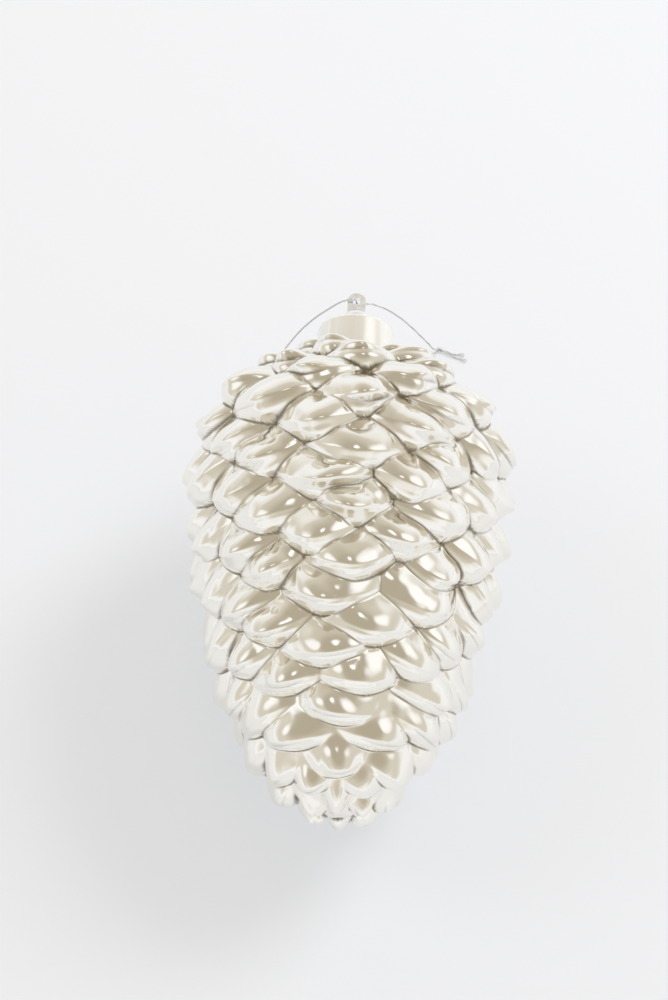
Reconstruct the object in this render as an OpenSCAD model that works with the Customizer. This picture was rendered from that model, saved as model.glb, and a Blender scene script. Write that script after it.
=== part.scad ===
// Pine cone ornament, laid down at rest on its scales, with its tip towards -Y and its neck towards +Y.
// The cone is a blown and lacquered bulb. Its scales stand on a smooth core in rows around the axis,
// and each row is turned half a scale on from the last.

/* [Cone] */
// Length from the end of the neck to the blunt tip of the core
cone_len = 146; // [135:1:160]
// Radius of the core under the scales, at the belly
core_r = 40; // [36:0.5:44]
// Distance of the belly from the end of the neck
belly_at = 46; // [42:1:52]
// Distance past the belly over which the core keeps its width before it tapers
belly_hold = 34; // [24:1:42]
// Radius that the curve of the blunt tip is drawn towards
tip_r = 27; // [22:0.5:32]

/* [Scales] */
// Scales in a row around the body of the cone
around = 10; // [9:1:11]
// Scales in a row further down the taper
taper_around = 8; // [7:1:9]
// Scales in a row where the cone is slim, near the neck and the tip
slim_around = 6; // [5:1:7]
// Radius of the core under which the rows are taper ones
taper_r = 34; // [30:0.5:36]
// Radius of the core under which the rows are slim ones
slim_r = 25; // [20:0.5:28]
// Distance between rows at the belly
belly_row = 8; // [7.5:0.1:9]
// Distance between rows at the very tip
tip_row = 5; // [4.5:0.1:6]
// Width of a belly scale across its keel
scale_w = 30; // [26:0.5:33]
// Length of a belly scale from its buried root to its keel
scale_len = 18; // [16:0.5:21]
// Height of a belly scale's keel over the core
scale_h = 7.5; // [5:0.25:9]
// Length of the rounded lip past the keel
lip_len = 4.5; // [3:0.25:6]
// How far the ends of the keel bend back towards the neck
keel_bow = 5; // [3:0.25:7]
// Turn of the first row about the cone's axis
first_turn = 328.5; // [0:0.1:359.9]
// Turn of each row past the half step
row_twist = 0; // [-3:0.1:3]
// How uneven the scales are, as a share of their size
uneven = 0.1; // [0:0.01:0.15]

/* [Neck] */
// Radius of the plain neck
neck_r = 11.2; // [10:0.1:12.5]
// Length of the neck, from its end to the shoulder
neck_len = 14; // [13:0.5:16]
// Rounding of the neck's end
neck_edge = 1.2; // [0.5:0.1:2]
// Depth of the mouth in the neck's end
mouth_depth = 9; // [8.5:0.5:12]

/* [Hanger cap] */
// Radius of the cap's round base
base_r = 4.6; // [4:0.1:5]
// Height of the straight part of the base, under its dome
base_h = 2.5; // [1.5:0.25:3]
// Radius of the shank that holds the cap in the mouth
shank_r = 3; // [2.5:0.1:3.4]
// Length of the shank
shank_len = 7.5; // [6:0.5:8]
// Radial clearance of the shank in the mouth
shank_gap = 0.1; // [0.05:0.05:0.2]
// Width of the upright lug
lug_w = 5.3; // [4.5:0.1:6]
// Thickness of the lug
lug_t = 1.8; // [1.4:0.1:2.4]
// Height of the lug's round end over the neck's end
lug_h = 12.8; // [11.8:0.1:14]
// Radius of the eye in the lug
eye_r = 1.2; // [1:0.05:1.4]

/* [Thread] */
// Diameter of the hanging thread
thread_d = 0.5; // [0.4:0.05:0.6]
// Radius of the knot
knot_r = 0.8; // [0.7:0.05:0.9]
// Length of the knot
knot_len = 2.6; // [2.2:0.1:3]

/* [Pose] */
// Angle at which the neck end is raised when the cone lies at rest
rest_pitch = 9.7; // [0:0.1:14]

/* [Hidden] */

// Buried depth of a scale's root under the core, as a share of the scale's height
root_sink = 0.45;
// Places across a scale at which its keel is drawn, as shares of half its width
keel_cols = [-1, -0.5, 0, 0.5, 1];
// The same for its slope, its lip and the foot of its lip
lip_cols = [-0.9, -0.35, 0.35, 0.9];
// Run along the core from the neck to the first row
first_run = 3;
// Length of the neck that stands inside the core
neck_root = 4;
// Rise of the shoulder's curve past the neck, and its length back from the belly
shoulder_rise = 7;
shoulder_len = 19;
// Steps along each half of the core's outline
core_steps = 10;

// Core outline, as points of [distance from the neck's end, radius]
shoulder_curve = [
    [neck_len + 1, neck_r - 1.2],
    [neck_len + shoulder_rise, core_r * 0.5],
    [belly_at - shoulder_len, core_r],
    [belly_at, core_r]
];
taper_curve = [
    [belly_at, core_r],
    [belly_at + belly_hold, core_r],
    [cone_len - 3, tip_r],
    [cone_len, 2]
];
function bezier(p, t) = p[0] * pow(1 - t, 3) + 3 * p[1] * t * pow(1 - t, 2)
    + 3 * p[2] * t * t * (1 - t) + p[3] * pow(t, 3);
core_line = concat(
    [for (i = [0 : core_steps - 1]) bezier(shoulder_curve, i / core_steps)],
    [for (i = [0 : core_steps]) bezier(taper_curve, i / core_steps)]
);

// Distance along the core outline, called the run, of each of its points
function run_of(i) = i == 0 ? 0 : run_of(i - 1) + norm(core_line[i] - core_line[i - 1]);
runs = [for (i = [0 : len(core_line) - 1]) run_of(i)];
last_run = runs[len(runs) - 1];
at_table = [for (i = [0 : len(runs) - 1]) [runs[i], core_line[i][0]]];
r_table = [for (i = [0 : len(runs) - 1]) [runs[i], core_line[i][1]]];
function core_at(run) = [lookup(run, at_table), lookup(run, r_table)];
function core_dir(run) = let (d = core_at(run + 1.5) - core_at(run - 1.5)) d / norm(d);

// Rows lie closer together where the core is slimmer
function row_gap(run) = tip_row + (belly_row - tip_row) * core_at(run)[1] / core_r;
rows = [for (run = first_run; run < last_run - 1; run = run + row_gap(run)) run];
function row_count(run) = core_at(run)[1] < slim_r ? slim_around : core_at(run)[1] < taper_r ? taper_around : around;

// Places of the scales, as [run along the core, turn about the axis, scales in the row]
places = [for (j = [0 : len(rows) - 1]) let (count = row_count(rows[j]))
    for (i = [0 : count - 1]) [rows[j], first_turn + (i + j / 2) * 360 / count + j * row_twist, count]];

// A fixed value that differs from scale to scale, for the hand-modelled look
function odd(n, k) = uneven * sin(n * (137 + 61 * k) + 40 * k);

// A point of scale n in its own frame: u across, v towards the tip, w out of the core
function on_scale(n, u, v, w) = let (
    run = places[n][0] + 1.5 * row_gap(places[n][0]) * odd(n, 3),
    turn = places[n][1] + 25 * odd(n, 4),
    twist = 60 * odd(n, 5),
    across = u * cos(twist) - v * sin(twist),
    on = u * sin(twist) + v * cos(twist),
    c = core_at(run),
    d = core_dir(run),
    axial = c[0] + on * d[0] - w * d[1],
    radial = c[1] + on * d[1] + w * d[0]
) [radial * sin(turn) + across * cos(turn), -axial, radial * cos(turn) - across * sin(turn)];

// Outline points of scale n: its buried root, its slope, its keel, its lip and the lip's foot
function scale_points(n) = let (
    run = places[n][0],
    k = row_gap(run) / belly_row,
    wide = core_at(run)[1] / core_r * around / places[n][2],
    half_w = wide * scale_w / 2 * (1 + odd(n, 1)),
    h = k * scale_h * (1 + odd(n, 2)),
    sag = min(half_w * half_w / 2 / max(core_at(run)[1], 6), half_w * 0.6),
    foot = -h * root_sink
) concat(
    [for (side = [-1, 1]) on_scale(n, half_w * 0.35 * side, -k * scale_len, foot)],
    [for (x = keel_cols) let (bend = pow(abs(x), 1.35))
        on_scale(n, half_w * x, -k * keel_bow * bend, h * (1 - bend) - sag * x * x)],
    [for (x = lip_cols) each let (
        bend = pow(abs(x), 1.35),
        keel = -k * keel_bow * bend,
        top = h * (1 - bend) - sag * x * x,
        lip = k * lip_len * (1 - 0.5 * bend)
    ) [
        on_scale(n, half_w * x * 0.9, keel - 0.4 * k * scale_len, 0.62 * top - 0.3 * sag),
        on_scale(n, half_w * x, keel + 0.7 * lip, top - 0.25 * h),
        on_scale(n, half_w * x * 0.9, keel + lip, foot - sag)
    ]]
);

// The laid cone stands on its lowest scales at Z = 0, and its box is centred on the Z axis
function raised(p) = [
    p.x,
    p.y * cos(rest_pitch) - p.z * sin(rest_pitch),
    p.y * sin(rest_pitch) + p.z * cos(rest_pitch)
];
skin = [for (n = [0 : len(places) - 1]) each [for (p = scale_points(n)) raised(p)]];
lowest = min([for (p = skin) p.z]);
mid_x = (min([for (p = skin) p.x]) + max([for (p = skin) p.x])) / 2;
lug_end = lug_h * cos(rest_pitch) + lug_t / 2 * sin(rest_pitch);
mid_y = (min([for (p = skin) p.y]) + lug_end) / 2;

// Route of the thread: from the knot up to the eye, through it, down to the table and back to the knot
thread_route = [
    [26.9, 109.1, 1.45], [25.2, 105.5, 5.6], [23.3, 101.9, 12.4], [20.6, 97.7, 20.8], [17.3, 93.3, 30.2],
    [13.6, 89.2, 39.1], [9.9, 85.5, 46.6], [6.6, 82.5, 52], [4, 80.3, 55.3], [2, 78.9, 56.4],
    [0.6, 78.1, 57], [0.2, 78, 58.3], [-0.1, 77.9, 59.4], [-1.1, 77.7, 60], [-2.8, 77.6, 59.7],
    [-5.1, 77.6, 58.3], [-8.3, 78, 54.8], [-11.9, 79.3, 49.6], [-15.8, 81.4, 42.2], [-19.4, 85, 32.3],
    [-22.5, 89.1, 21.8], [-25, 93, 11.9], [-26.6, 96.6, 4], [-26.8, 99.6, 0.8], [-24.6, 101.6, 0.3],
    [-20, 101.6, 0.3], [-11, 98.6, 0.3], [0, 96.6, 0.3], [11, 98, 0.3], [19, 101.4, 0.3],
    [24, 105.6, 0.3], [26.6, 109, 0.55]
];
// The knot's middle and the way its tails point, with the routes of its two frayed tails
knot_at = [27.6, 109.4, 0.8];
knot_dir = [0.88, -0.47, 0];
tail_routes = [
    [[28, 109.2, 0.8], [30, 108, 0.7], [32, 106.8, 0.45], [34.2, 105.9, 0.3]],
    [[28, 109.2, 0.8], [30, 108.6, 0.6], [31.8, 107.9, 0.4], [33.4, 107.8, 0.3]]
];
thread_sides = 8;

// Smooth line through the points of a route
function smooth(r, i, t) = let (
    a = r[max(i - 1, 0)],
    b = r[i],
    c = r[i + 1],
    d = r[min(i + 2, len(r) - 1)]
) b + (c - a) * t / 2 + (2 * a - 5 * b + 4 * c - d) * t * t / 2 + (3 * b - a - 3 * c + d) * pow(t, 3) / 2;
function smooth_line(r) = concat([for (i = [0 : len(r) - 2], t = [0, 0.5]) smooth(r, i, t)], [r[len(r) - 1]]);

// Round tube along a line, each ring carried over from the one before it without twist
module tube(line, d) {
    last = len(line) - 1;
    ahead = [for (i = [0 : last]) let (a = line[min(i + 1, last)] - line[max(i - 1, 0)]) a / norm(a)];
    first_side = cross(ahead[0], [0.3, 0.2, 1]);
    function carried(side, a) = let (s = side - (side * a) * a) s / norm(s);
    sides = [for (
        i = 0, side = carried(first_side, ahead[0]);
        i <= last;
        i = i + 1, side = i <= last ? carried(side, ahead[i]) : side
    ) side];
    points = [for (i = [0 : last], k = [0 : thread_sides - 1]) let (a = 360 * k / thread_sides)
        line[i] + d / 2 * (cos(a) * sides[i] + sin(a) * cross(ahead[i], sides[i]))];
    faces = concat(
        [[for (k = [thread_sides - 1 : -1 : 0]) k]],
        [for (i = [0 : last - 1], k = [0 : thread_sides - 1]) let (
            a = i * thread_sides + k,
            b = i * thread_sides + (k + 1) % thread_sides
        ) each [[a, b, b + thread_sides], [a, b + thread_sides, a + thread_sides]]],
        [[for (k = [0 : thread_sides - 1]) last * thread_sides + k]]
    );
    polyhedron(points, [for (f = faces) [for (k = [len(f) - 1 : -1 : 0]) f[k]]]);
}

module point_hull(points) {
    hull() polyhedron(points, [[for (i = [0 : len(points) - 1]) i]]);
}

module lay() {
    translate([-mid_x, -mid_y, -lowest]) rotate([rest_pitch, 0, 0]) children();
}

// The turned forms stand about the cone's axis, with the neck's end at Z = 0 and the tip at -Z
module about_axis() {
    rotate([-90, 0, 0]) children();
}

module core() {
    about_axis() rotate_extrude($fn = 24)
        polygon(concat([[0, 1 - neck_len]], [for (p = core_line) [p[1], -p[0]]], [[0, -cone_len]]));
}

module neck() {
    about_axis() rotate_extrude($fn = 72) {
        translate([0, -neck_len - neck_root]) square([neck_r, neck_len + neck_root - neck_edge]);
        translate([0, -neck_len]) square([neck_r - neck_edge, neck_len]);
        translate([neck_r - neck_edge, -neck_edge]) circle(neck_edge, $fn = 24);
    }
}

module mouth() {
    about_axis() translate([0, 0, -mouth_depth]) cylinder(mouth_depth + 1, r = shank_r + shank_gap, $fn = 48);
}

module cone_body() {
    color("burlywood") lay() difference() {
        union() {
            core();
            neck();
            for (n = [0 : len(places) - 1]) point_hull(scale_points(n));
        }
        mouth();
    }
}

module dome() {
    rotate_extrude($fn = 48) intersection() {
        circle(base_r, $fn = 32);
        square(base_r);
    }
}

module lug() {
    translate([-lug_w / 2, -lug_t / 2, 0]) cube([lug_w, lug_t, lug_h - lug_w / 2]);
    translate([0, lug_t / 2, lug_h - lug_w / 2]) rotate([90, 0, 0]) cylinder(lug_t, r = lug_w / 2, $fn = 40);
}

module eye() {
    translate([0, lug_t, lug_h - lug_w / 2]) rotate([90, 0, 0]) cylinder(lug_t * 2, r = eye_r, $fn = 32);
}

module hanger_cap() {
    color("silver") lay() about_axis() difference() {
        union() {
            translate([0, 0, -shank_len]) cylinder(shank_len, r = shank_r, $fn = 48);
            cylinder(base_h, r = base_r, $fn = 48);
            translate([0, 0, base_h]) dome();
            lug();
        }
        eye();
    }
}

module hanging_thread() {
    color("gray") tube(smooth_line(thread_route), thread_d);
}

module thread_knot() {
    reach = knot_len / 2 - knot_r;
    color("dimgray") {
        hull() for (side = [-1, 1]) translate(knot_at + side * reach * knot_dir) sphere(knot_r, $fn = 12);
        for (route = tail_routes) tube(smooth_line(route), thread_d);
    }
}

cone_body();
hanger_cap();
hanging_thread();
thread_knot();
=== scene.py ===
"""Dresses the pine cone ornament: its lacquered scales, the silver cap and the thread, on a pale floor."""
import math

import bpy
import numpy as np
from mathutils import Matrix, Vector


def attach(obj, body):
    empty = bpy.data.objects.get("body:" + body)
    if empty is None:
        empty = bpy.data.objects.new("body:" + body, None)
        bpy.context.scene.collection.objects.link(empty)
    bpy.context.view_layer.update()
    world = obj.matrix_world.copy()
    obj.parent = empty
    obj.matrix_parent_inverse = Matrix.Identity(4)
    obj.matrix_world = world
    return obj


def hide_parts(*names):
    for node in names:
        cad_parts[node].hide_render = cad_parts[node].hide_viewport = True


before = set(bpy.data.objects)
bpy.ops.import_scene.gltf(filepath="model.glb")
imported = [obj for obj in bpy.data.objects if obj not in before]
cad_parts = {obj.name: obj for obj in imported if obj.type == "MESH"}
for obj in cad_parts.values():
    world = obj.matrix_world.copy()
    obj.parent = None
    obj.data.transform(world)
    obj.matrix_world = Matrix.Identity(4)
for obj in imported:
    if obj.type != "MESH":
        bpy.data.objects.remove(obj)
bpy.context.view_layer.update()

MM = 0.001

# The cone's sizes in millimetres and angles in degrees. Those of its core, rows and scales are the same as
# in the part's own source
CONE_LEN = 146
CORE_R = 40
BELLY_AT = 46
BELLY_HOLD = 34
TIP_R = 27
AROUND = 10
TAPER_AROUND = 8
SLIM_AROUND = 6
TAPER_R = 34
SLIM_R = 25
BELLY_ROW = 8
TIP_ROW = 5
SCALE_W = 30
SCALE_LEN = 18
SCALE_H = 7.5
LIP_LEN = 4.5
KEEL_BOW = 5
FIRST_TURN = 328.5
ROW_TWIST = 0
FIRST_RUN = 3
UNEVEN = 0.1
NECK_R = 11.2
NECK_LEN = 14
NECK_EDGE = 1.2
NECK_ROOT = 6
MOUTH_R = 3.1
MOUTH_EDGE = 0.4
MOUTH_DEPTH = 9
REST_PITCH = 9.7
ROOT_SINK = 0.45
SHOULDER_RISE = 7
SHOULDER_LEN = 19
CORE_STEPS = 10
# How far scales differ in place, in row gaps, and in turn and twist, in degrees, where their odd value is
# one, also as in the source
PLACE_PLAY = 1.5
TURN_PLAY = 25
TWIST_PLAY = 60
# Run to each side of a point of the core over which its direction is taken
DIR_REACH = 1.5
# Where the middle of the neck's end lies in the frame, in millimetres
NECK_END = (0.201, 67.988, 56.617)

# The camera stands over the tip and looks down along the cone: its place in metres, the direction from
# what it sees back to it, its roll in degrees and its lens in millimetres
CAMERA_AT = (0.0056, -0.3159, 0.5057)
CAMERA_BACK = (0.0170, -0.5835, 0.8119)
CAMERA_ROLL = 0.64
CAMERA_LENS = 72

# The thread's diameter in millimetres, and the steps between two points of its route
THREAD_D = 0.5
THREAD_STEPS = 4
# The thread's route in metres, the same points as in the part's source: from the knot up to the eye,
# through it, down to the table and back to the knot
RISING_ROUTE = [
    (0.0269, 0.1091, 0.00145), (0.0252, 0.1055, 0.0056), (0.0233, 0.1019, 0.0124), (0.0206, 0.0977, 0.0208),
    (0.0173, 0.0933, 0.0302), (0.0136, 0.0892, 0.0391), (0.0099, 0.0855, 0.0466), (0.0066, 0.0825, 0.052),
    (0.004, 0.0803, 0.0553), (0.002, 0.0789, 0.0564), (0.0006, 0.0781, 0.057), (0.0002, 0.078, 0.0583)
]
FALLING_ROUTE = [
    (0.0002, 0.078, 0.0583), (-0.0001, 0.0779, 0.0594), (-0.0011, 0.0777, 0.06), (-0.0028, 0.0776, 0.0597),
    (-0.0051, 0.0776, 0.0583), (-0.0083, 0.078, 0.0548), (-0.0119, 0.0793, 0.0496), (-0.0158, 0.0814, 0.0422),
    (-0.0194, 0.085, 0.0323), (-0.0225, 0.0891, 0.0218), (-0.025, 0.093, 0.0119), (-0.0266, 0.0966, 0.004),
    (-0.0268, 0.0996, 0.0008), (-0.0246, 0.1016, 0.0003), (-0.02, 0.1016, 0.0003), (-0.011, 0.0986, 0.0003),
    (0, 0.0966, 0.0003), (0.011, 0.098, 0.0003), (0.019, 0.1014, 0.0003), (0.024, 0.1056, 0.0003),
    (0.0266, 0.109, 0.00055)
]
TAIL_ROUTES = [
    [(0.028, 0.1092, 0.0008), (0.03, 0.108, 0.0007), (0.032, 0.1068, 0.00045), (0.0342, 0.1059, 0.0003)],
    [(0.028, 0.1092, 0.0008), (0.03, 0.1086, 0.0006), (0.0318, 0.1079, 0.0004), (0.0334, 0.1078, 0.0003)]
]
# The knot's middle in metres and the way that it points, then the length of its winding and the radius
# of its turns in millimetres, how many turns there are, and the steps that they are drawn in
KNOT_AT = (0.0276, 0.1094, 0.0008)
KNOT_DIR = (0.88, -0.47, 0)
KNOT_LEN = 1.7
KNOT_WIND_R = 0.4
KNOT_TURNS = 3
KNOT_STEPS = 48
# Loose fibres at a tail's end: how far they start inside it and reach past it in millimetres, their share
# of the thread's diameter, the angles at which they leave it, and the steps between their points
WHISKER_ROOT = 0.4
WHISKER_LEN = 2.2
WHISKER_SHARE = 0.35
WHISKER_TURNS = [-38, -12, 10, 34]
WHISKER_STEPS = 3


# Camera

def add_camera():
    data = bpy.data.cameras.new("camera")
    data.lens = CAMERA_LENS
    data.sensor_width = 36
    data.clip_start = 0.01
    camera = bpy.data.objects.new("camera", data)
    bpy.context.scene.collection.objects.link(camera)
    turn = Vector(CAMERA_BACK).to_track_quat("Z", "Y").to_matrix().to_4x4()
    roll = Matrix.Rotation(math.radians(CAMERA_ROLL), 4, "Z")
    camera.matrix_world = Matrix.Translation(CAMERA_AT) @ turn @ roll
    bpy.context.scene.camera = camera


# Materials

class Nodes:
    """Adds nodes to the tree of a material or a world, and links them up."""

    def __init__(self, tree, shader, coordinates):
        self.tree = tree
        self.shader = tree.nodes[shader]
        self.place = self.new("ShaderNodeTexCoord").outputs[coordinates]

    def new(self, kind):
        return self.tree.nodes.new(kind)

    def link(self, output, socket):
        self.tree.links.new(output, socket)

    def noise(self, scale, detail=2):
        node = self.new("ShaderNodeTexNoise")
        node.inputs["Scale"].default_value = scale
        node.inputs["Detail"].default_value = detail
        self.link(self.place, node.inputs["Vector"])
        return node.outputs["Fac"]

    def ramp(self, value, low, high, first=0, last=1, how="LINEAR"):
        """A value that goes from first to last as another goes from low to high."""
        node = self.new("ShaderNodeMapRange")
        node.interpolation_type = how
        for name, number in zip(["From Min", "From Max", "To Min", "To Max"], [low, high, first, last]):
            node.inputs[name].default_value = number
        self.link(value, node.inputs["Value"])
        return node.outputs["Result"]

    def mix(self, factor, first, last):
        """A colour between two others, each one a constant or a node's output."""
        node = self.new("ShaderNodeMix")
        node.data_type = "RGBA"
        self.link(factor, node.inputs["Factor"])
        for socket, color in ((node.inputs[6], first), (node.inputs[7], last)):
            if isinstance(color, tuple):
                socket.default_value = (*color, 1)
            else:
                self.link(color, socket)
        return node.outputs[2]

    def maths(self, operation, *values):
        """An operation on the outputs of other nodes."""
        node = self.new("ShaderNodeMath")
        node.operation = operation
        for value, socket in zip(values, node.inputs):
            self.link(value, socket)
        return node.outputs[0]

    def bump(self, height, distance, strength):
        """Fine relief in the shading, with its depth in metres."""
        node = self.new("ShaderNodeBump")
        node.inputs["Distance"].default_value = distance
        node.inputs["Strength"].default_value = strength
        self.link(height, node.inputs["Height"])
        self.link(node.outputs["Normal"], self.shader.inputs["Normal"])

    def feed(self, socket, value):
        self.link(value, self.shader.inputs[socket])


def new_material(name, color, metallic, roughness):
    """A material with plain values, and what adds nodes to it. A linked node replaces its plain value."""
    material = bpy.data.materials.new(name)
    material.use_nodes = True
    nodes = Nodes(material.node_tree, "Principled BSDF", "Object")
    nodes.shader.inputs["Base Color"].default_value = (*color, 1)
    nodes.shader.inputs["Metallic"].default_value = metallic
    nodes.shader.inputs["Roughness"].default_value = roughness
    return material, nodes


def lacquer():
    """Champagne lacquer over silver: bare and milky on the neck, and darkened with painted shade in the
    creases.
    """
    color, clouded = (0.945, 0.925, 0.875), (0.925, 0.905, 0.85)
    painted_shade_color, milky = (0.26, 0.225, 0.175), (0.97, 0.965, 0.94)
    material, nodes = new_material("cone_lacquer", color, 1, 0.06)
    nodes.shader.inputs["Coat Weight"].default_value = 0.3
    nodes.shader.inputs["Coat Roughness"].default_value = 0.03
    # The stored value is none on the bare neck and runs from a half to one on the scales, where its upper
    # part sets the painted shade in the creases
    stored = nodes.new("ShaderNodeAttribute")
    stored.attribute_name = "lacquer"
    depth = stored.outputs["Fac"]
    # Painted shade: the base colour turns dark brown where the stored value is high, in the creases
    painted_shade = nodes.ramp(depth, 0.52, 0.95)
    bare = nodes.ramp(depth, 0, 0.4, 1, 0)
    clouds = nodes.mix(nodes.ramp(nodes.noise(55, 3), 0.35, 0.65), color, clouded)
    toned = nodes.mix(painted_shade, clouds, painted_shade_color)
    nodes.feed("Base Color", nodes.mix(bare, toned, milky))
    nodes.feed("Metallic", nodes.ramp(depth, 0, 0.4, 0.4, 1))
    nodes.feed("Roughness", nodes.ramp(nodes.noise(140), 0.3, 0.7, 0.08, 0.13))
    nodes.bump(nodes.noise(900, 1), 0.00002, 0.15)
    return material


def cap_chrome():
    """Bright plating with faint wear."""
    bright, worn = (0.95, 0.96, 0.97), (0.86, 0.87, 0.89)
    material, nodes = new_material("cap_chrome", (0.93, 0.94, 0.95), 1, 0.25)
    nodes.feed("Base Color", nodes.mix(nodes.ramp(nodes.noise(400, 3), 0.4, 0.7), bright, worn))
    nodes.feed("Roughness", nodes.ramp(nodes.noise(700, 3), 0.3, 0.7, 0.22, 0.34))
    nodes.bump(nodes.noise(1500, 1), 0.00002, 0.05)
    return material


def thread_grey():
    """Grey yarn with a fine twist."""
    dark, pale = (0.58, 0.59, 0.61), (0.84, 0.85, 0.87)
    material, nodes = new_material("thread_grey", (0.64, 0.65, 0.67), 0, 0.5)
    twist = nodes.new("ShaderNodeTexWave")
    twist.bands_direction = "DIAGONAL"
    twist.inputs["Scale"].default_value = 420
    twist.inputs["Distortion"].default_value = 2
    nodes.link(nodes.place, twist.inputs["Vector"])
    nodes.feed("Base Color", nodes.mix(twist.outputs["Fac"], dark, pale))
    nodes.bump(twist.outputs["Fac"], 0.0001, 0.5)
    return material


def floor_white():
    """Smooth pale board with a faint grain. What looks at it or mirrors it also sees it glow a little."""
    color, clouded, glow = (0.562, 0.575, 0.625), (0.552, 0.567, 0.618), (0.94, 0.97, 1)
    material, nodes = new_material("floor", color, 0, 0.55)
    nodes.feed("Base Color", nodes.mix(nodes.ramp(nodes.noise(3, 2), 0.3, 0.7), color, clouded))
    nodes.bump(nodes.noise(600, 3), 0.00005, 0.05)
    ray = nodes.new("ShaderNodeLightPath").outputs
    seen = nodes.maths("ADD", ray["Is Camera Ray"], ray["Is Glossy Ray"])
    nodes.shader.inputs["Emission Color"].default_value = (*glow, 1)
    nodes.feed("Emission Strength", nodes.ramp(seen, 0, 1, 0, 0.36))
    return material


# Thread

def smooth_line(route, steps):
    """Points along a smooth line through the points of a route."""
    r = [np.array(p, float) for p in route]
    line = []
    for i in range(len(r) - 1):
        a = r[max(i - 1, 0)]
        b = r[i]
        c = r[i + 1]
        d = r[min(i + 2, len(r) - 1)]
        for k in range(steps):
            t = k / steps
            curve = (2 * a - 5 * b + 4 * c - d) * t * t + (3 * b - a - 3 * c + d) * t ** 3
            line.append(b + ((c - a) * t + curve) / 2)
    line.append(r[-1])
    return line


def round_line(name, lines, diameter, material):
    """A curve object with one round spline along each line, each line with its share of the diameter."""
    curve = bpy.data.curves.new(name, "CURVE")
    curve.dimensions = "3D"
    curve.bevel_depth = diameter / 2
    curve.bevel_resolution = 3
    curve.use_fill_caps = True
    for line, share in lines:
        spline = curve.splines.new("POLY")
        spline.points.add(len(line) - 1)
        for point, co in zip(spline.points, line):
            point.co = (*co, 1)
            point.radius = share
    curve.materials.append(material)
    piece = bpy.data.objects.new(name, curve)
    bpy.context.scene.collection.objects.link(piece)
    return piece


def knot_winding():
    """The turns that the thread makes round itself in the knot."""
    along = Vector(KNOT_DIR).normalized()
    side = Vector((0, 0, 1)).cross(along)
    line = []
    for i in range(KNOT_STEPS + 1):
        part = i / KNOT_STEPS
        turn = part * KNOT_TURNS * 2 * math.pi
        out = side * math.cos(turn) + Vector((0, 0, 1)) * math.sin(turn)
        line.append(Vector(KNOT_AT) + along * (part - 0.5) * KNOT_LEN * MM + out * KNOT_WIND_R * MM)
    return line


def whiskers(route):
    """Lines of the loose fibres at the end of a tail, which bend back to the tail's own direction."""
    before, end = (np.array(p, float) for p in route[-2:])
    on = (end - before) / np.linalg.norm(end - before)
    lines = []
    for turn in WHISKER_TURNS:
        sin, cos = math.sin(math.radians(turn)), math.cos(math.radians(turn))
        way = np.array([on[0] * cos - on[1] * sin, on[0] * sin + on[1] * cos, 0])
        root = end - on * WHISKER_ROOT * MM
        middle = end + way * WHISKER_LEN * MM / 2
        tip = end + (on + way) / 2 * WHISKER_LEN * MM
        lines.append([root, middle, tip])
    return lines


def add_thread(material):
    parts = [(smooth_line(tail, THREAD_STEPS), 1) for tail in TAIL_ROUTES] + [(knot_winding(), 1)]
    for tail in TAIL_ROUTES:
        parts += [(smooth_line(line, WHISKER_STEPS), WHISKER_SHARE) for line in whiskers(tail)]
    knot = round_line("thread_knot_piece", parts, THREAD_D * MM, material)
    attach(knot, "root")
    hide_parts("thread_knot")
    route = FALLING_ROUTE + [KNOT_AT] + RISING_ROUTE
    line = smooth_line(route, THREAD_STEPS)
    thread = round_line("thread", [(line, 1)], THREAD_D * MM, material)
    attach(thread, "root")
    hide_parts("hanging_thread")


# Cone core

def bezier(p, t):
    """The point at share t of a curve with four control points."""
    p = np.array(p, float)
    return p[0] * (1 - t) ** 3 + 3 * p[1] * t * (1 - t) ** 2 + 3 * p[2] * t * t * (1 - t) + p[3] * t ** 3


def core_outline(steps):
    """The smooth bulb that the scales stand on, as points of (distance from the neck's end, radius)."""
    shoulder = [
        (NECK_LEN + 1, NECK_R - 1.2),
        (NECK_LEN + SHOULDER_RISE, CORE_R * 0.5),
        (BELLY_AT - SHOULDER_LEN, CORE_R),
        (BELLY_AT, CORE_R)
    ]
    taper = [
        (BELLY_AT, CORE_R),
        (BELLY_AT + BELLY_HOLD, CORE_R),
        (CONE_LEN - 3, TIP_R),
        (CONE_LEN, 2)
    ]
    first = [bezier(shoulder, i / steps) for i in range(steps)]
    return np.array(first + [bezier(taper, i / steps) for i in range(steps + 1)])


def runs_along(outline):
    """Distance along an outline, called the run, of each of its points."""
    return np.concatenate([[0], np.cumsum(np.linalg.norm(np.diff(outline, axis=0), axis=1))])


# The rows are placed on the same coarse outline as in the part's source
OUTLINE = core_outline(CORE_STEPS)
RUNS = runs_along(OUTLINE)


def core_at(run):
    return np.array([np.interp(run, RUNS, OUTLINE[:, 0]), np.interp(run, RUNS, OUTLINE[:, 1])])


def core_dir(run):
    d = core_at(run + DIR_REACH) - core_at(run - DIR_REACH)
    return d / np.linalg.norm(d)


def row_gap(run):
    """Rows lie closer together where the core is slimmer."""
    return TIP_ROW + (BELLY_ROW - TIP_ROW) * core_at(run)[1] / CORE_R


def row_count(run):
    """Scales in the row at a run."""
    if core_at(run)[1] < SLIM_R:
        return SLIM_AROUND
    return TAPER_AROUND if core_at(run)[1] < TAPER_R else AROUND


def scale_places():
    """Places of the scales, as (run along the core, turn about the axis, scales in the row)."""
    places = []
    run = FIRST_RUN
    row = 0
    while run < RUNS[-1] - 1:
        count = row_count(run)
        for i in range(count):
            places.append((run, FIRST_TURN + (i + row / 2) * 360 / count + row * ROW_TWIST, count))
        run += row_gap(run)
        row += 1
    return places


def odd(n, k):
    """A fixed value, up to UNEVEN, that differs from scale to scale and from use to use."""
    return UNEVEN * math.sin(math.radians(n * (137 + 61 * k) + 40 * k))


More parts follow.
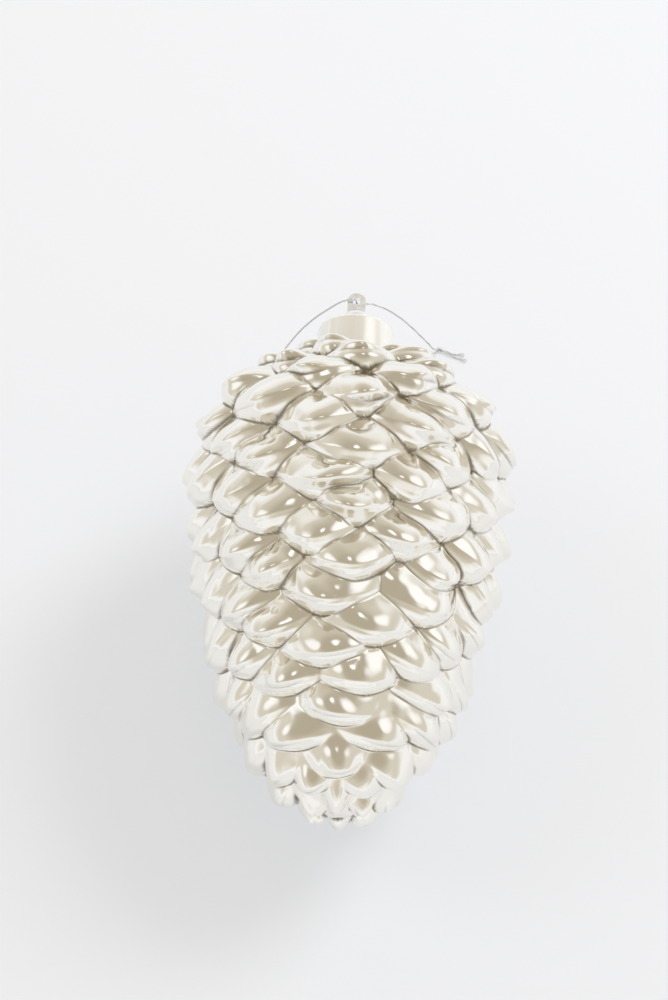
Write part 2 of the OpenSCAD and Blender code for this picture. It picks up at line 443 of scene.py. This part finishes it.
def laid(points):
    """Points of the cone's own frame, laid down in the row's frame, in metres."""
    tilt = math.radians(REST_PITCH)
    x = points[..., 0] + NECK_END[0]
    y = points[..., 1] * math.cos(tilt) - points[..., 2] * math.sin(tilt) + NECK_END[1]
    z = points[..., 1] * math.sin(tilt) + points[..., 2] * math.cos(tilt) + NECK_END[2]
    return np.stack([x, y, z], -1) * MM


# Scales

# The skin's grid: points round the cone, rows of points in each of its pieces, the pieces from the neck
# to the tip, and the steps along each half of the fine outline that it stands on
COLUMNS = 640
BAND_ROWS = 150
BANDS = ["cone_shoulder", "cone_belly", "cone_waist", "cone_tip"]
SKIN_ROWS = len(BANDS) * BAND_ROWS
SKIN_STEPS = 120
# Sides that the neck is drawn with
NECK_SIDES = 96
# Softness in millimetres of the creases between scales, of the valleys down to the core, and of the
# groove between a scale's mound and its lip
CREASE = 0.2
VALLEY = 0.5
GROOVE = 0.2
# How far the skin stays under its nominal height, so that it keeps inside the solid's box
SKIN_UNDER = 0.27
# Height at which the skin starts before any scale raises it, and height of the valleys' floor
SKIN_START = -6.0
VALLEY_FLOOR = -0.6
# The run past which the valleys get shallower towards the tip, over what run and by how much
TIP_FROM = 112
TIP_OVER = 22
TIP_FILL = 1.8
# At the neck the skin starts under the neck's own surface and may rise by this much for each bit of run
NECK_START = -1
NECK_RISE = 2.6
NECK_SOFT = 0.25
# How far a point lies under the mean of its surroundings where the painted shade in a crease starts, how much
# more where that painted shade is darkest, and the points on each side that the surroundings take in
CREASE_SHADE_FROM = 0.055
CREASE_SHADE_OVER = 0.24
CREASE_SHADE_REACH = 2
# Scales stand on the core's curve on the shoulder, and past it by a lesser share: the run where that share
# would reach none, the run over which it falls by one, and the least share
CURVED_TO = 56
CURVED_OVER = 10
CURVED_LEAST = 0.4
# Share of the core's fall to the sides that such a scale gets back
CURVED_RAISE = 0.6
# A scale is worked out on the points near it: reach across and along it as shares of its size, and how
# squarely the core has to face it
REACH_ACROSS = 1.25
REACH_ALONG = 1.3
REACH_FACING = 0.3
# Shares of its height over the core at which a scale's place is read, in its flat and its bent frame
FLAT_LIFT = 0.5
CURVED_LIFT = 0.3
# A flat scale's height is read along the core's normal, but no further aslant than this, and falls
# steeply where the core has turned further away
ASLANT_LEAST = 0.6
TURNED_FROM = 0.72
TURNED_FALL = 40
# The deepest that a scale reaches under the core: a share of its height, a length, and the softness
DEEP_SHARE = 1.1
DEEP_MORE = 0.4
DEEP_SOFT = 0.3
# Scales at the tip are wider and have straighter keels: from which run, over what run, and by what shares
BLUNT_FROM = 105
BLUNT_OVER = 25
BLUNT_WIDER = 0.25
BLUNT_STRAIGHTER = 0.95
# The keel bends back by this power of the place across the scale, with a round middle
KEEL_POWER = 1.24
KEEL_ROUND = 0.04
# The ridge sinks to the sides by a share of its height and by a power, up to a square of the place across
RIDGE_SINK = 0.84
RIDGE_POWER = 0.85
RIDGE_TO = 1.2
# The face rises to the keel by a power, with a hollow given by its depth, place and width as shares of the
# scale's height and length, and falls past the keel
FACE_POWER = 1.75
HOLLOW_DEPTH = 0.05
HOLLOW_AT = 0.56
HOLLOW_WIDE = 0.2
FACE_FALL = 2
# The mound on the face: its height, half width and length as shares of the scale's, and how far those, its
# place across the scale and its lean differ where the odd value is one
MOUND_H = 0.21
MOUND_W = 0.6
MOUND_LEN = 0.5
MOUND_H_PLAY = 1.3
MOUND_W_PLAY = 1.5
MOUND_PLACE_PLAY = 2.6
MOUND_LEAN_PLAY = 6
# The lip: how much shorter it is at the sides, the share of its fall that is an even slope, the power of
# the rest, which is round, and what keeps its foot from being upright
LIP_SHORTER = 0.5
LIP_SLOPE = 0.2
LIP_POWER = 5.5
LIP_FOOT = 0.003
# How fast the lip falls back under the face behind the keel, and past its own foot
LIP_BACK_FALL = 0.9
LIP_FOOT_FALL = 5
# The side edges: the share of the half width where they start, and how fast they fall
EDGE_FROM = 0.88
EDGE_FALL = 130


def soft_max(a, b, softness):
    """The higher of two heights, with a rounded crease where they meet."""
    return np.logaddexp(a / softness, b / softness) * softness


def side_drop(run, half_w):
    """How far the core curves away under a scale's side edge."""
    return min(half_w ** 2 / 2 / max(core_at(run)[1], 6), half_w * 0.6)


def scale_size(n, run, count):
    """Share of a belly scale's length, half width, height and bow of scale n."""
    k = row_gap(run) / BELLY_ROW
    blunt = min(max((run - BLUNT_FROM) / BLUNT_OVER, 0), 1)
    wide = core_at(run)[1] / CORE_R * AROUND / count * (1 + BLUNT_WIDER * blunt)
    half_w = wide * SCALE_W / 2 * (1 + odd(n, 1))
    h = k * SCALE_H * (1 + odd(n, 2))
    bow = k * KEEL_BOW * (1 - BLUNT_STRAIGHTER * blunt)
    return k, half_w, h, bow


def keel_bend(x):
    """How far the keel bends back at a share x of the half width: none in the middle, one at the side."""
    power = KEEL_POWER / 2
    bend = (x * x + KEEL_ROUND) ** power - KEEL_ROUND ** power
    return bend / ((1 + KEEL_ROUND) ** power - KEEL_ROUND ** power)


def mound_shape(n, x, before):
    """Share of the mound's height, at shares of the scale's half width and of its length before the keel."""
    across = x - MOUND_PLACE_PLAY * odd(n, 7) - MOUND_LEAN_PLAY * odd(n, 8) * before
    across = across / (MOUND_W + MOUND_W_PLAY * odd(n, 9))
    return np.maximum(1 - across ** 2 - (before / MOUND_LEN) ** 2, 0) ** 1.5


def scale_height(n, run, size, u, v):
    """Height of scale n over its own frame, at u across it and v along it from its keel."""
    k, half_w, h, bow = size
    foot = -h * ROOT_SINK
    x = u / half_w
    bend = keel_bend(x)
    t = v + bow * bend
    before = np.maximum(-t, 0) / (k * SCALE_LEN)
    after = np.maximum(t, 0)
    mound = h * (MOUND_H + MOUND_H_PLAY * odd(n, 6))
    ridge = 1 - RIDGE_SINK * np.minimum(x * x, RIDGE_TO) ** RIDGE_POWER
    lip_top = (h - mound) * ridge

    rise = 1 - np.minimum(before, 2) ** FACE_POWER
    hollow = HOLLOW_DEPTH * h * np.exp(-((before - HOLLOW_AT) / HOLLOW_WIDE) ** 2)
    face = foot + (lip_top - foot) * rise - hollow + mound * mound_shape(n, x, before)
    face = face - FACE_FALL * after ** 1.5

    lip_len = k * LIP_LEN * (1 - LIP_SHORTER * np.minimum(bend, 1))
    along = np.clip(t / lip_len, 0, 1)
    fall = 1 - np.sqrt(np.maximum(1 - along ** LIP_POWER, LIP_FOOT))
    fall = LIP_SLOPE * along + (1 - LIP_SLOPE) * fall
    lip = lip_top - (lip_top - foot) * fall
    lip = lip - LIP_BACK_FALL * np.maximum(-t, 0) - np.maximum(t - lip_len, 0) * LIP_FOOT_FALL

    edge = EDGE_FALL * np.maximum(np.abs(x) - EDGE_FROM, 0) ** 2
    return soft_max(face, lip, GROOVE) - side_drop(run, half_w) * x * x - edge


def add_scale(n, place, base, normal, height):
    """Raises the skin to scale n wherever the scale stands over it."""
    run, turn, count = place
    turn = math.radians(turn + TURN_PLAY * odd(n, 4))
    twist = math.radians(TWIST_PLAY * odd(n, 5))
    middle = run + PLACE_PLAY * row_gap(run) * odd(n, 3)
    at = core_at(middle)
    d = core_dir(middle)
    axis = np.array([0, -1, 0])
    outwards = np.array([math.sin(turn), 0, math.cos(turn)])
    side = np.array([math.cos(turn), 0, -math.sin(turn)])
    on = axis * d[0] + outwards * d[1]
    out = outwards * d[0] - axis * d[1]
    u_dir = side * math.cos(twist) + on * math.sin(twist)
    v_dir = on * math.cos(twist) - side * math.sin(twist)
    size = scale_size(n, run, count)
    k, half_w, h = size[:3]
    gap = base - (axis * at[0] + outwards * at[1])
    facing = normal @ out
    near = (np.abs(gap @ u_dir) < half_w * REACH_ACROSS) & (facing > REACH_FACING)
    near &= np.abs(gap @ v_dir) < k * SCALE_LEN * REACH_ALONG
    gap = gap[near]
    facing = facing[near]

    # In a flat frame
    lifted = gap + normal[near] * FLAT_LIFT * h
    flat = scale_height(n, run, size, lifted @ u_dir, lifted @ v_dir)
    flat = (flat - gap @ out) / np.maximum(facing, ASLANT_LEAST)
    flat = flat - TURNED_FALL * np.maximum(TURNED_FROM - facing, 0)

    # In a frame bent round the core
    row, column = np.nonzero(near)
    v = row * RUNS[-1] / SKIN_ROWS - middle
    u = (column * 2 * math.pi / COLUMNS - turn + math.pi) % (2 * math.pi) - math.pi
    u = u * (at[1] + CURVED_LIFT * h)
    u, v = u * math.cos(twist) + v * math.sin(twist), v * math.cos(twist) - u * math.sin(twist)
    curved = scale_height(n, run, size, u, v)
    curved = curved + CURVED_RAISE * side_drop(middle, half_w) * (u / half_w) ** 2

    share = np.clip((CURVED_TO - middle) / CURVED_OVER, CURVED_LEAST, 1)
    w = share * curved + (1 - share) * flat
    w = -soft_max(-w, np.full(w.shape, -DEEP_SHARE * h - DEEP_MORE), DEEP_SOFT)
    height[near] = soft_max(height[near], w, CREASE)


def skin_grid():
    """The core's surface as a grid of points and their outward directions."""
    outline = np.concatenate([core_outline(SKIN_STEPS), [[CONE_LEN, 0.01]]])
    runs = runs_along(outline)
    run = np.linspace(0, runs[-1], SKIN_ROWS + 1)
    at, ahead, behind = (
        np.stack([np.interp(run + step, runs, outline[:, i]) for i in (0, 1)], -1)
        for step in (0, DIR_REACH, -DIR_REACH)
    )
    d = (ahead - behind) / np.linalg.norm(ahead - behind, axis=1)[:, None]
    angle = np.linspace(0, 2 * math.pi, COLUMNS + 1)[None]
    sin, cos = np.sin(angle), np.cos(angle)
    base = np.stack([at[:, 1:] * sin, -at[:, :1] + 0 * sin, at[:, 1:] * cos], -1)
    normal = np.stack([d[:, :1] * sin, d[:, 1:] + 0 * sin, d[:, :1] * cos], -1)
    return base, normal


def waves(p):
    """Unevenness of the blown skin in millimetres, from a slow wave and a fine one."""
    x, y, z = p[..., 0], p[..., 1], p[..., 2]
    slow = np.sin(0.41 * x + 1.3 * np.sin(0.23 * y)) * np.sin(0.37 * y + 0.4 * z) * np.sin(0.43 * z + 0.9)
    fine = np.sin(1.07 * x + 0.9 * np.sin(0.61 * z)) * np.sin(0.93 * y + 0.8 * np.sin(0.71 * x))
    fine = fine * np.sin(0.99 * z + 1.7)
    return 0.14 * slow + 0.06 * fine


def averaged(grid, reach):
    """Mean of a grid that closes around the cone, over a square window."""
    count = 2 * reach + 1
    ring = np.concatenate([grid[:, -reach - 1:-1], grid, grid[:, 1:reach + 1]], 1)
    total = np.cumsum(np.concatenate([np.zeros((len(ring), 1)), ring], 1), axis=1)
    wide = (total[:, count:] - total[:, :-count]) / count
    tall = np.concatenate([np.repeat(wide[:1], reach, 0), wide, np.repeat(wide[-1:], reach, 0)])
    total = np.cumsum(np.concatenate([np.zeros((1, tall.shape[1])), tall]), axis=0)
    return (total[count:] - total[:-count]) / count


def skin():
    """The cone's skin as a grid of points, with how far each one lies in a crease, which sets the painted
    shade there.
    """
    base, normal = skin_grid()
    height = np.full(base.shape[:2], SKIN_START)
    for n, place in enumerate(scale_places()):
        add_scale(n, place, base, normal, height)
    run = np.linspace(0, RUNS[-1], len(height))[:, None] + 0 * height
    filled = np.clip((run - TIP_FROM) / TIP_OVER, 0, 1)
    height = soft_max(height, TIP_FILL * filled ** 2 * (3 - 2 * filled) + VALLEY_FLOOR, VALLEY)
    height = -soft_max(-height, -NECK_START - NECK_RISE * run, NECK_SOFT)
    height[:, -1] = height[:, 0]
    # How far each point lies in a crease, which the lacquer turns into painted shade
    crease = np.clip((averaged(height, CREASE_SHADE_REACH) - height - CREASE_SHADE_FROM) / CREASE_SHADE_OVER, 0, 1)
    points = base + normal * (height + waves(base) - SKIN_UNDER)[..., None]
    points[:, -1] = points[:, 0]
    return points, crease


def grid_normals(points):
    """Outward directions of a grid of points that closes around the cone."""
    wide = np.concatenate([points[:, -2:-1], points, points[:, 1:2]], 1)
    around = wide[:, 2:] - wide[:, :-2]
    along = np.gradient(points, axis=0)
    normal = np.cross(along, around)
    normal = normal / np.maximum(np.linalg.norm(normal, axis=-1, keepdims=True), 1e-9)
    normal = np.stack([averaged(normal[..., i], 1) for i in range(3)], -1)
    return normal / np.maximum(np.linalg.norm(normal, axis=-1, keepdims=True), 1e-9)


def turned(outline, sides):
    """A grid of points of an outline turned about the cone's axis."""
    angle = np.linspace(0, 2 * math.pi, sides + 1)[None]
    outline = np.array(outline, float)
    x, z = outline[:, 1:] * np.sin(angle), outline[:, 1:] * np.cos(angle)
    return np.stack([x, -outline[:, :1] + 0 * angle, z], -1)


def neck_outline():
    """The neck from the bottom of its mouth, over its rounded edge, to a root inside the cone."""
    arc = [math.pi / 2 * i / 6 for i in range(7)]
    edge = [(NECK_EDGE * (1 - math.sin(a)), NECK_R - NECK_EDGE * (1 - math.cos(a))) for a in arc]
    mouth = [(MOUTH_DEPTH, 0.01), (MOUTH_DEPTH, MOUTH_R), (MOUTH_EDGE, MOUTH_R), (0, MOUTH_R + MOUTH_EDGE)]
    return mouth + edge[::-1] + [(NECK_LEN + NECK_ROOT, NECK_R)]


def grid_piece(name, points, normals, bare_neck_and_crease_shade, material):
    """A smooth piece of the cone from a grid of points in the cone's own frame."""
    rows, columns = points.shape[:2]
    index = np.arange(rows * columns).reshape(rows, columns)
    corners = [index[:-1, :-1], index[1:, :-1], index[1:, 1:], index[:-1, 1:]]
    corners = np.stack(corners, -1).reshape(-1, 4)
    mesh = bpy.data.meshes.new(name)
    mesh.from_pydata(laid(points).reshape(-1, 3).tolist(), [], corners.tolist())
    mesh.shade_smooth()
    # The value that the lacquer reads: none on the bare neck, and on the scales more painted shade the
    # further a point lies in a crease
    depth = mesh.attributes.new("lacquer", "FLOAT", "POINT")
    depth.data.foreach_set("value", bare_neck_and_crease_shade.reshape(-1).tolist())
    if normals is not None:
        turned_normals = (laid(points + normals) - laid(points)).reshape(-1, 3) / MM
        mesh.normals_split_custom_set_from_vertices(turned_normals.tolist())
    mesh.materials.append(material)
    piece = bpy.data.objects.new(name, mesh)
    bpy.context.scene.collection.objects.link(piece)
    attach(piece, "root")
    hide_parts("cone_body")
    print(name, "triangles", 2 * len(corners))
    return piece


def add_cone(material):
    points, crease = skin()
    normals = grid_normals(points)
    for band, name in enumerate(BANDS):
        rows = slice(band * BAND_ROWS, (band + 1) * BAND_ROWS + 1)
        # On the scales the stored value runs from a half to one, its upper part painted shade in the creases;
        # on the neck it is none
        grid_piece(name, points[rows], normals[rows], 0.5 + 0.5 * crease[rows], material)
    neck = turned(neck_outline(), NECK_SIDES)
    grid_piece("cone_neck", neck, None, np.zeros(neck.shape[:2]), material)


def dress_cap(material):
    """Plates the cap, which keeps its solid."""
    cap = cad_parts["hanger_cap"]
    cap.data.materials.clear()
    cap.data.materials.append(material)


# Stage

# The lamps: name, place in metres and radiance, with the size of both and the point that they face
LAMPS = [("lamp_right", (0.8, 0.62, 1.0), 7.5), ("lamp_left", (-1.0, 0.15, 0.9), 1.5)]
LAMP_SIZE = (0.6, 0.5)
LAMP_TARGET = (0, 0, 0.05)
# The room that the lacquer mirrors, as heights of a direction, from 0 at the horizon to 1, and colours
ROOM = [
    (0.24, (0.965, 0.97, 0.98)),
    (0.44, (0.89, 0.872, 0.825)),
    (0.62, (0.65, 0.605, 0.505)),
    (0.95, (0.485, 0.43, 0.335))
]
# Warmer walls at both sides: where they start and are full, aside and in height, and their colour
SIDE_ASIDE = (0.5, 0.85)
SIDE_UP = (0.06, 0.3)
SIDE_WALL = (0.70, 0.66, 0.57)
# Bright windows with soft edges: direction, half width in degrees, width of the edge, and brightness
WINDOWS = [((0.95, 0.5, 1.0), 9, 13, 1.08), ((-1.0, 0.15, 0.9), 7, 11, 1.05), ((0, 0.28, 0.96), 3, 6, 1.3)]


def add_floor():
    bpy.ops.mesh.primitive_plane_add(size=6)
    floor = bpy.context.object
    floor.name = "floor"
    floor.data.materials.append(floor_white())


def add_lamp(name, at, radiance):
    """A lamp that casts light and shadow. What the lacquer mirrors is the room's own windows."""
    data = bpy.data.lights.new(name, "AREA")
    data.shape = "RECTANGLE"
    data.size, data.size_y = LAMP_SIZE
    data.energy = radiance * math.pi * LAMP_SIZE[0] * LAMP_SIZE[1]
    lamp = bpy.data.objects.new(name, data)
    lamp.location = at
    lamp.rotation_euler = (Vector(LAMP_TARGET) - Vector(at)).to_track_quat("-Z", "Y").to_euler()
    lamp.visible_glossy = False
    bpy.context.scene.collection.objects.link(lamp)


def window_light(nodes, direction, half_width, edge):
    """How far a direction lies inside a window, from 0 outside its soft edge to 1."""
    towards = nodes.new("ShaderNodeVectorMath")
    towards.operation = "DOT_PRODUCT"
    towards.inputs[1].default_value = Vector(direction).normalized()
    nodes.link(nodes.place, towards.inputs[0])
    outside, inside = math.cos(math.radians(half_width + edge)), math.cos(math.radians(half_width))
    return nodes.ramp(towards.outputs["Value"], outside, inside, how="SMOOTHSTEP")


def add_world():
    """A room with white walls, a warm grey ceiling that the scales' tops mirror, and windows."""
    world = bpy.data.worlds.new("world")
    world.use_nodes = True
    nodes = Nodes(world.node_tree, "Background", "Generated")
    split = nodes.new("ShaderNodeSeparateXYZ")
    nodes.link(nodes.place, split.inputs["Vector"])
    walls = nodes.new("ShaderNodeValToRGB")
    walls.color_ramp.interpolation = "EASE"
    stops = walls.color_ramp.elements
    while len(stops) < len(ROOM):
        stops.new(0.5)
    for stop, (height, color) in zip(stops, ROOM):
        stop.position = height
        stop.color = (*color, 1)
    nodes.link(split.outputs["Z"], walls.inputs["Fac"])
    aside = nodes.ramp(nodes.maths("ABSOLUTE", split.outputs["X"]), *SIDE_ASIDE, how="SMOOTHSTEP")
    up = nodes.ramp(split.outputs["Z"], *SIDE_UP, how="SMOOTHSTEP")
    seen = nodes.mix(nodes.maths("MULTIPLY", aside, up), walls.outputs["Color"], SIDE_WALL)
    for direction, half_width, edge, bright in WINDOWS:
        seen = nodes.mix(window_light(nodes, direction, half_width, edge), seen, (bright,) * 3)
    nodes.feed("Color", seen)
    bpy.context.scene.world = world


add_camera()
add_thread(thread_grey())
add_cone(lacquer())
dress_cap(cap_chrome())
add_floor()
for lamp in LAMPS:
    add_lamp(*lamp)
add_world()
bpy.context.scene.view_settings.view_transform = "Standard"
